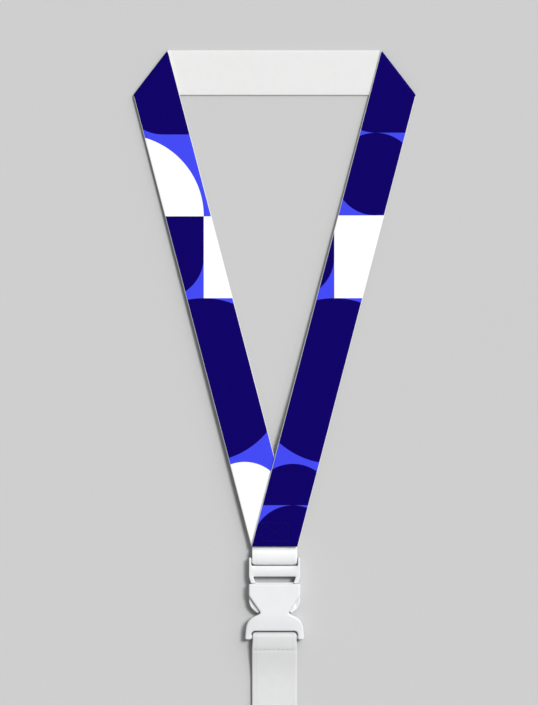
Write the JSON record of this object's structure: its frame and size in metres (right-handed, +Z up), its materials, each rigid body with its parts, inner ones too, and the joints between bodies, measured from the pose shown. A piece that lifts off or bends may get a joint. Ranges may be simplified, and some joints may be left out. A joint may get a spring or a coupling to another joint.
{
  "type": "lanyard",
  "caption": "Neck lanyard laid flat, with a folded printed webbing loop, a side-release buckle, a short strap and a swivel trigger hook.",
  "frame": {"origin": "centre of the outline's foot, on the surface that the lanyard lies on", "axes": "+X across the lanyard, +Y along it from the hook to the nape, +Z up from the surface, out of its front"},
  "size_m": [0.1572, 0.4292, 0.008],
  "materials": {
    "printed_webbing": null,
    "white_webbing": null,
    "navy_thread": null,
    "white_thread": null,
    "white_plastic": null,
    "plated_metal": null,
    "spring_steel": null
  },
  "bodies": {
    "neck_loop": {"neck_strap": "printed_webbing", "buckle_tab": "white_webbing", "tab_stitching": "navy_thread"},
    "buckle_male": {"male_frame": "white_plastic"},
    "prong_left": {"prong_left": "white_plastic"},
    "prong_right": {"prong_right": "white_plastic"},
    "buckle_female": {"female_body": "white_plastic"},
    "short_strap": {"lower_strap": "white_webbing", "upper_seam": "white_thread", "lower_seam": "white_thread"},
    "swivel_eye": {"hook_eye": "plated_metal"},
    "hook": {"swivel_rivet": "plated_metal", "hook_body": "plated_metal", "gate_pin": "plated_metal", "gate_spring": "spring_steel"},
    "gate": {"gate_lever": "plated_metal"}
  },
  "joints": [
    {"name": "buckle_swing", "type": "hinge", "parent": "neck_loop", "child": "buckle_male", "pos_m": [0, -0.06856, 0.004], "axis": [1, 0, 0], "range_deg": [-90, 90]},
    {"name": "prong_left_squeeze", "type": "hinge", "parent": "buckle_male", "child": "prong_left", "pos_m": [-0.0088, -0.08596, 0.004], "axis": [0, 0, 1], "range_deg": [0, 17], "stiffness_Nm_per_rad": 0.06},
    {"name": "prong_right_squeeze", "type": "hinge", "parent": "buckle_male", "child": "prong_right", "pos_m": [0.0088, -0.08596, 0.004], "axis": [0, 0, -1], "range_deg": [0, 17], "stiffness_Nm_per_rad": 0.06},
    {"name": "buckle_release", "type": "slide", "parent": "buckle_male", "child": "buckle_female", "axis": [0, -1, 0], "range_m": [0, 0.02], "deforming": ["prong_left", "prong_right"]},
    {"name": "short_strap_swing", "type": "hinge", "parent": "buckle_female", "child": "short_strap", "pos_m": [0, -0.11116, 0.004], "axis": [1, 0, 0], "range_deg": [-80, 80]},
    {"name": "eye_swing", "type": "hinge", "parent": "short_strap", "child": "swivel_eye", "pos_m": [0, -0.16896, 0.004], "axis": [1, 0, 0], "range_deg": [-80, 80]},
    {"name": "hook_swivel", "type": "hinge", "parent": "swivel_eye", "child": "hook", "pos_m": [0, -0.1777, 0.004], "axis": [0, 1, 0], "continuous": true},
    {"name": "gate_open", "type": "hinge", "parent": "hook", "child": "gate", "pos_m": [-0.00632, -0.19276, 0.004], "axis": [0, 0, 1], "range_deg": [0, 30], "stiffness_Nm_per_rad": 0.02, "springref_deg": -28.65, "deforming": ["gate_spring"]}
  ],
  "couplings": [
    {"joint": "prong_right_squeeze", "follows": "prong_left_squeeze", "ratio": 1}
  ]
}
